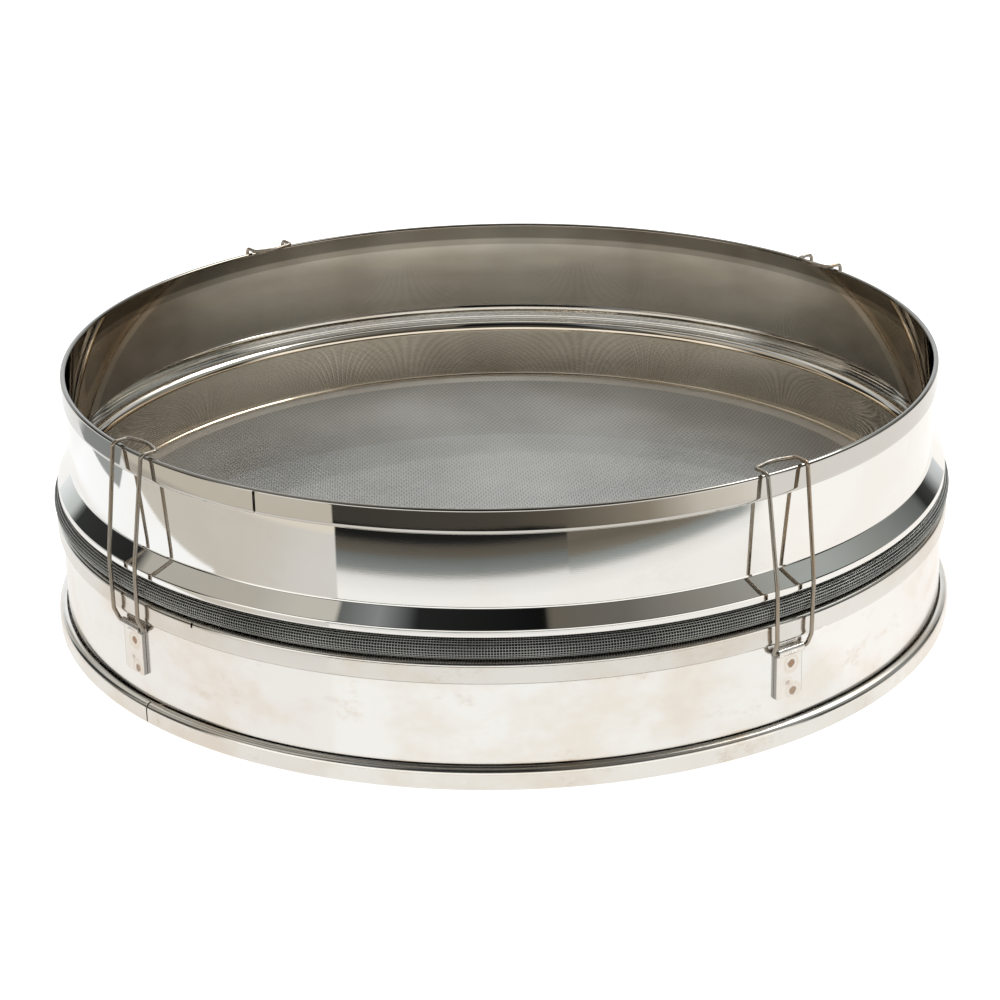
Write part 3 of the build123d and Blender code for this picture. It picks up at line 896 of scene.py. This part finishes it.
def ground_finish(colour):
    """Pale floor. It glows with painted reflection tones that only the steel sees, and these end at the edge
    of a white sheet round the sieve.
    """
    finish = Finish("pale floor")
    shader = finish.shader
    shader.inputs["Roughness"].default_value = 1.0
    shader.inputs["Specular IOR Level"].default_value = 0.0
    x, y = finish.split(finish.place)[:2]
    radius = finish.length(x, y)
    bearing = finish.math("ARCTAN2", x, finish.math("MULTIPLY", y, -1.0))
    sides = finish.blend(finish.ramp(bearing, 0.0, 0.01), ground_left(finish, x, y, radius, bearing),
                         (1.12, 1.11, 1.09))

    # The front tones start at a straight line at the left and fade out at the right
    turn = math.radians(-43.2)
    line = finish.math("ADD", finish.math("MULTIPLY", finish.math("ADD", x, 0.0507), math.cos(turn)),
                       finish.math("MULTIPLY", finish.math("ADD", y, 0.1412), math.sin(turn)))
    ahead = finish.math("MULTIPLY", finish.ramp(line, -0.001, 0.001),
                        finish.ramp(bearing, 0.84, 0.98, 1.0, 0.0))
    ahead = finish.math("MULTIPLY", ahead, finish.ramp(y, -0.06, -0.05, 1.0, 0.0))
    mirrored = finish.blend(ahead, sides, ground_ahead(finish, radius, bearing))

    # The camera sees plain floor, the steel its painted mirrored tones, and under the sieve it is dim: a
    # painted shadow round a painted pool of light
    path = finish.add("ShaderNodeLightPath")
    seen = finish.blend(path.outputs["Is Glossy Ray"], (0.45, 0.45, 0.45), mirrored)
    seen = finish.blend(path.outputs["Is Camera Ray"], seen, (0.92, 0.92, 0.92))
    # Painted pool of light under the middle of the screen, inside a painted shadow under the walls
    painted_light_pool = finish.ramp(finish.length(finish.math("SUBTRACT", x, 0.009), y), 0.132, 0.136)
    below = finish.blend(painted_light_pool, (0.46, 0.46, 0.46), (0.18, 0.18, 0.18))
    outside = finish.ramp(radius, 0.156, 0.157)
    finish.link(finish.blend(outside, below, seen), shader.inputs["Emission Color"])
    shader.inputs["Emission Strength"].default_value = 1.0
    dull = finish.math("SUBTRACT", 1.0, finish.math("MULTIPLY", path.outputs["Is Glossy Ray"], outside))
    finish.link(finish.blend(dull, (0.0, 0.0, 0.0), tuple(colour)), shader.inputs["Base Color"])
    return finish.material


# Camera: its place and aim in metres, its roll in degrees, and its focal length in the photograph's pixels
CAMERA_PLACE, CAMERA_AIM, CAMERA_ROLL = (0, -0.9277, 0.4065), (0, 0, 0.03317), -1.13
FOCAL_LENGTH, PICTURE_WIDTH, SENSOR_WIDTH, SHIFT = 2816.14, 1000, 36.0, -0.00188


class SIEVE_OT_stage(bpy.types.Operator):
    """Stage: pale floor, soft studio light and the camera"""
    bl_idname = "sieve.stage"
    bl_label = "Stage"

    def execute(self, context):
        colour = context.scene.sieve_colours
        deselect_all()
        bpy.ops.mesh.primitive_circle_add(vertices=96, radius=4.0, fill_type="NGON",
                                          location=(0, 0, -0.0002))
        floor = bpy.context.object
        floor.name = "floor"
        floor.data.materials.append(ground_finish(colour.floor))

        studio_world()
        deselect_all()
        bpy.ops.object.light_add(type="AREA", location=(0.62, 0.44, 1.05))
        lamp = bpy.context.object
        lamp.name = "soft box"
        lamp.data.shape = "RECTANGLE"
        lamp.data.size, lamp.data.size_y, lamp.data.energy = 0.5, 0.4, 4.0
        lamp.rotation_euler = (Vector((0, 0, 0.03)) - lamp.location).to_track_quat("-Z", "Y").to_euler()

        camera_data = bpy.data.cameras.new("camera")
        camera = bpy.data.objects.new("camera", camera_data)
        context.scene.collection.objects.link(camera)
        camera.location = CAMERA_PLACE
        aim = (Vector(CAMERA_AIM) - camera.location).to_track_quat("-Z", "Y").to_matrix()
        camera.rotation_euler = (aim @ Matrix.Rotation(math.radians(CAMERA_ROLL), 3, "Z")).to_euler()
        camera_data.sensor_width = SENSOR_WIDTH
        camera_data.lens = SENSOR_WIDTH * FOCAL_LENGTH / PICTURE_WIDTH
        camera_data.shift_x = SHIFT
        camera_data.clip_start = 0.01
        context.scene.camera = camera
        context.scene.view_settings.view_transform = "Standard"
        context.scene.view_settings.look = "None"
        return {"FINISHED"}


class SIEVE_PT_panel(bpy.types.Panel):
    bl_idname = "SIEVE_PT_panel"
    bl_label = "Drum Sieve"
    bl_space_type = "VIEW_3D"
    bl_region_type = "UI"
    bl_category = "Sieve"

    def draw(self, context):
        layout = self.layout
        for operator in OPERATORS:
            layout.operator(operator.bl_idname)
        for group in (context.scene.sieve_sizes, context.scene.sieve_colours):
            box = layout.box()
            for name in group.__annotations__:
                box.prop(group, name)


OPERATORS = (SIEVE_OT_upper_hoop, SIEVE_OT_lower_hoop, SIEVE_OT_rolled_edge, SIEVE_OT_screen, SIEVE_OT_clips,
             SIEVE_OT_straps, SIEVE_OT_stage)
CLASSES = (SieveSizes, SieveColours, *OPERATORS, SIEVE_PT_panel)


def register():
    for item in CLASSES:
        bpy.utils.register_class(item)
    bpy.types.Scene.sieve_sizes = PointerProperty(type=SieveSizes)
    bpy.types.Scene.sieve_colours = PointerProperty(type=SieveColours)


def unregister():
    del bpy.types.Scene.sieve_colours
    del bpy.types.Scene.sieve_sizes
    for item in reversed(CLASSES):
        bpy.utils.unregister_class(item)


def main():
    register()
    bpy.ops.sieve.upper_hoop()
    bpy.ops.sieve.lower_hoop()
    bpy.ops.sieve.rolled_edge()
    bpy.ops.sieve.screen()
    bpy.ops.sieve.clips()
    bpy.ops.sieve.straps()
    bpy.ops.sieve.stage()


if __name__ == "__main__":
    main()
